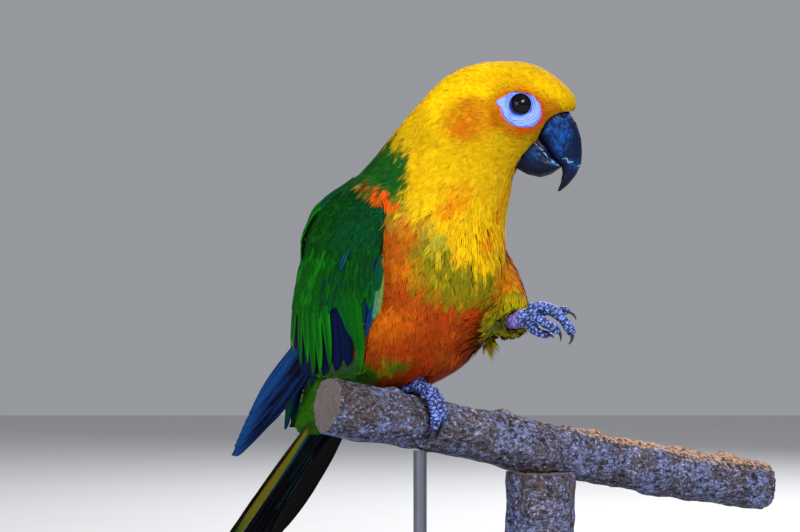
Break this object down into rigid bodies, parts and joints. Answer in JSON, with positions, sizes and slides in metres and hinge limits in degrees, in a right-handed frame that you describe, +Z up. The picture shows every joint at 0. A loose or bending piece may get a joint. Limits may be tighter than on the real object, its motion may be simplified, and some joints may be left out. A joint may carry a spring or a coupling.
{
  "type": "perched jandaya parakeet model",
  "caption": "Life-size still parakeet with a raised foot, gripping a cut branch on a plain display stand.",
  "frame": {"origin": "middle of the display stand's underside, on the surface that it stands on", "axes": "+Z up; the bird's head faces mostly +X, its breast faces between +X and -Y, and its tail runs back towards -X and +Y"},
  "size_m": [0.2392, 0.1295, 0.2487],
  "materials": {
    "plumage": "soft contour feathers, yellow to orange red",
    "wing_feathers": "green vaned feathers",
    "flight_feathers": "blue vaned feathers",
    "tail_feathers": "olive green vaned feathers with blue tips",
    "bill_horn": "slate black horn with flaking edges",
    "eye": "wet gloss",
    "foot_skin": "scaled blue-grey skin",
    "claw_horn": "dark horn",
    "bark": "rough grey-brown bark",
    "stand_metal": "satin dark enamel on steel"
  },
  "bodies": {
    "root": {"head": "plumage", "neck": "plumage", "trunk": "plumage", "leg_left": "plumage", "leg_right": "plumage", "wing_left": "wing_feathers", "wing_right": "wing_feathers", "flight_left": "flight_feathers", "flight_right": "flight_feathers", "tail": "tail_feathers", "bill_upper": "bill_horn", "bill_lower": "bill_horn", "eye_left": "eye", "eye_right": "eye", "foot_left": "foot_skin", "foot_right": "foot_skin", "claw_left_1": "claw_horn", "claw_left_2": "claw_horn", "claw_left_3": "claw_horn", "claw_left_4": "claw_horn", "claw_right_1": "claw_horn", "claw_right_2": "claw_horn", "claw_right_3": "claw_horn", "claw_right_4": "claw_horn", "perch_branch": "bark", "perch_post": "bark", "stand_rod_front": "stand_metal", "stand_rod_back": "stand_metal", "stand_base": "stand_metal"}
  },
  "joints": []
}
